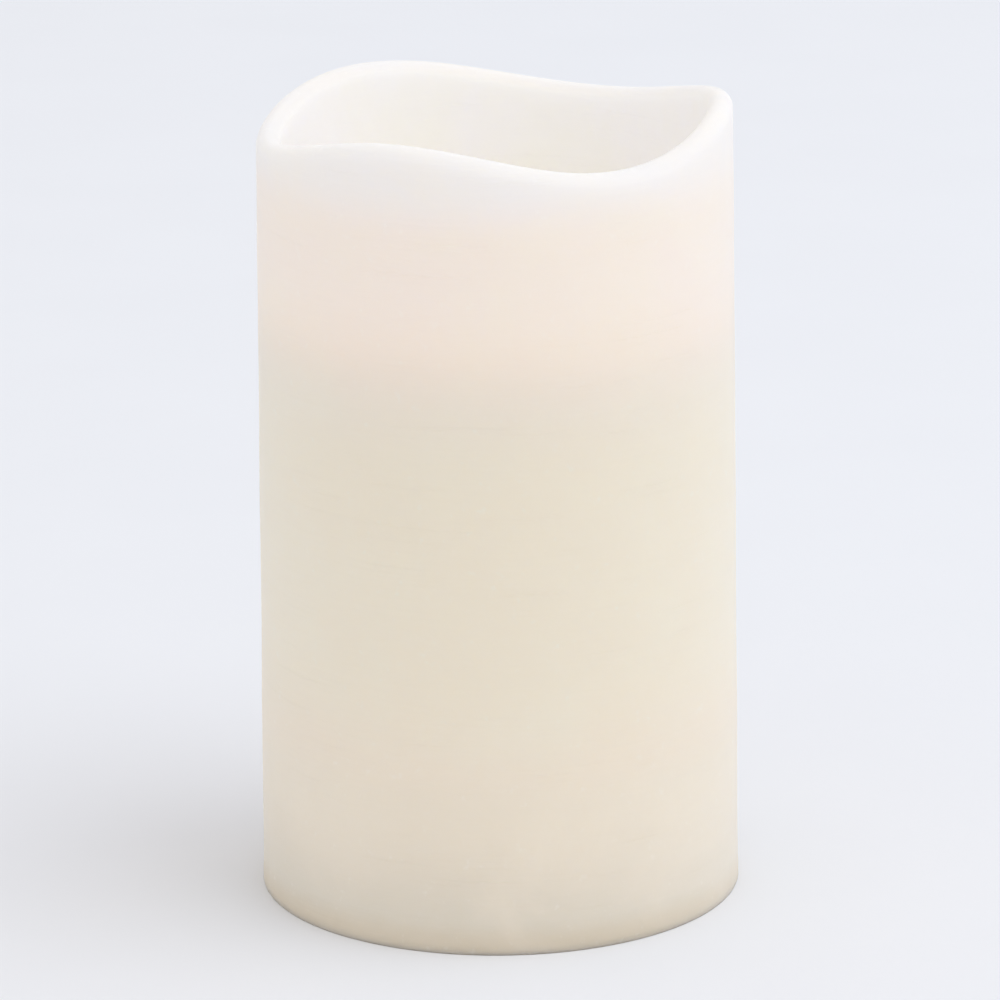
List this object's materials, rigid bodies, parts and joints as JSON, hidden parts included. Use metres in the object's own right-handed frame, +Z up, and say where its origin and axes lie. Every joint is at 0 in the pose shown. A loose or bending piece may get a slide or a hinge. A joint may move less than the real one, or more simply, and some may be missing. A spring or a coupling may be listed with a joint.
{
  "type": "flameless led candle",
  "caption": "Wax pillar candle with a wavy melted rim and a deep well, an LED flame tip inside, and a base with a hinged battery door and a slide switch.",
  "frame": {"origin": "centre of the foot, on the surface that the candle stands on", "axes": "+Z up along the candle's axis, -Y towards the front, +X to the right seen from the front"},
  "size_m": [0.076, 0.076, 0.1273],
  "materials": {
    "wax": "satin",
    "core_plastic": "satin",
    "hot_melt": "satin",
    "base_plastic": "matte",
    "screw_steel": "satin",
    "contact_nickel": "satin",
    "cell_steel": "satin",
    "cell_wrap": "gloss",
    "switch_steel": "satin",
    "phenolic": "matte",
    "knob_plastic": "satin",
    "brass": "satin",
    "sleeve": "satin",
    "wire_yellow": "satin",
    "wire_black": "satin",
    "wire_red": "satin",
    "solder_mask": "satin",
    "epoxy_drop": "gloss",
    "crystal_can": "polished",
    "resistor_body": "satin",
    "capacitor_sleeve": "gloss",
    "solder": "satin",
    "led_epoxy": "gloss",
    "flame_silicone": "satin"
  },
  "bodies": {
    "candle": {"wax_shell": "wax", "core_shell": "core_plastic", "glue_beads": "hot_melt", "base_plate": "base_plastic", "base_screws": "screw_steel", "battery_holder": "core_plastic", "holder_screws": "screw_steel", "positive_contact": "contact_nickel", "negative_contact": "contact_nickel", "negative_spring": "contact_nickel", "battery_1_can": "cell_steel", "battery_1_wrap": "cell_wrap", "battery_2_can": "cell_steel", "battery_2_wrap": "cell_wrap", "switch_can": "switch_steel", "switch_insulator": "phenolic", "switch_terminals": "contact_nickel", "switch_screws": "screw_steel", "wire_sleeves": "sleeve", "wire_timer": "wire_yellow", "wire_common": "wire_black", "wire_on": "wire_red", "circuit_board": "solder_mask", "board_screws": "screw_steel", "controller_chip": "epoxy_drop", "timer_crystal": "crystal_can", "resistors": "resistor_body", "capacitor": "capacitor_sleeve", "solder_joints": "solder", "led_spacer": "core_plastic", "led_leads": "solder", "led": "led_epoxy", "flame_bulb": "flame_silicone", "bulb_collar": "base_plastic"},
    "battery_door": {"battery_door": "base_plastic", "door_contact": "contact_nickel", "door_spring": "contact_nickel"},
    "switch_knob": {"switch_knob": "knob_plastic", "switch_wiper": "brass"}
  },
  "joints": [
    {"name": "battery_door_hinge", "type": "hinge", "parent": "candle", "child": "battery_door", "pos_m": [0, -0.0112, 0.0026], "axis": [-1, 0, 0], "range_deg": [0, 95]},
    {"name": "switch_slide", "type": "slide", "parent": "candle", "child": "switch_knob", "axis": [1, 0, 0], "range_m": [-0.002, 0.002]}
  ]
}
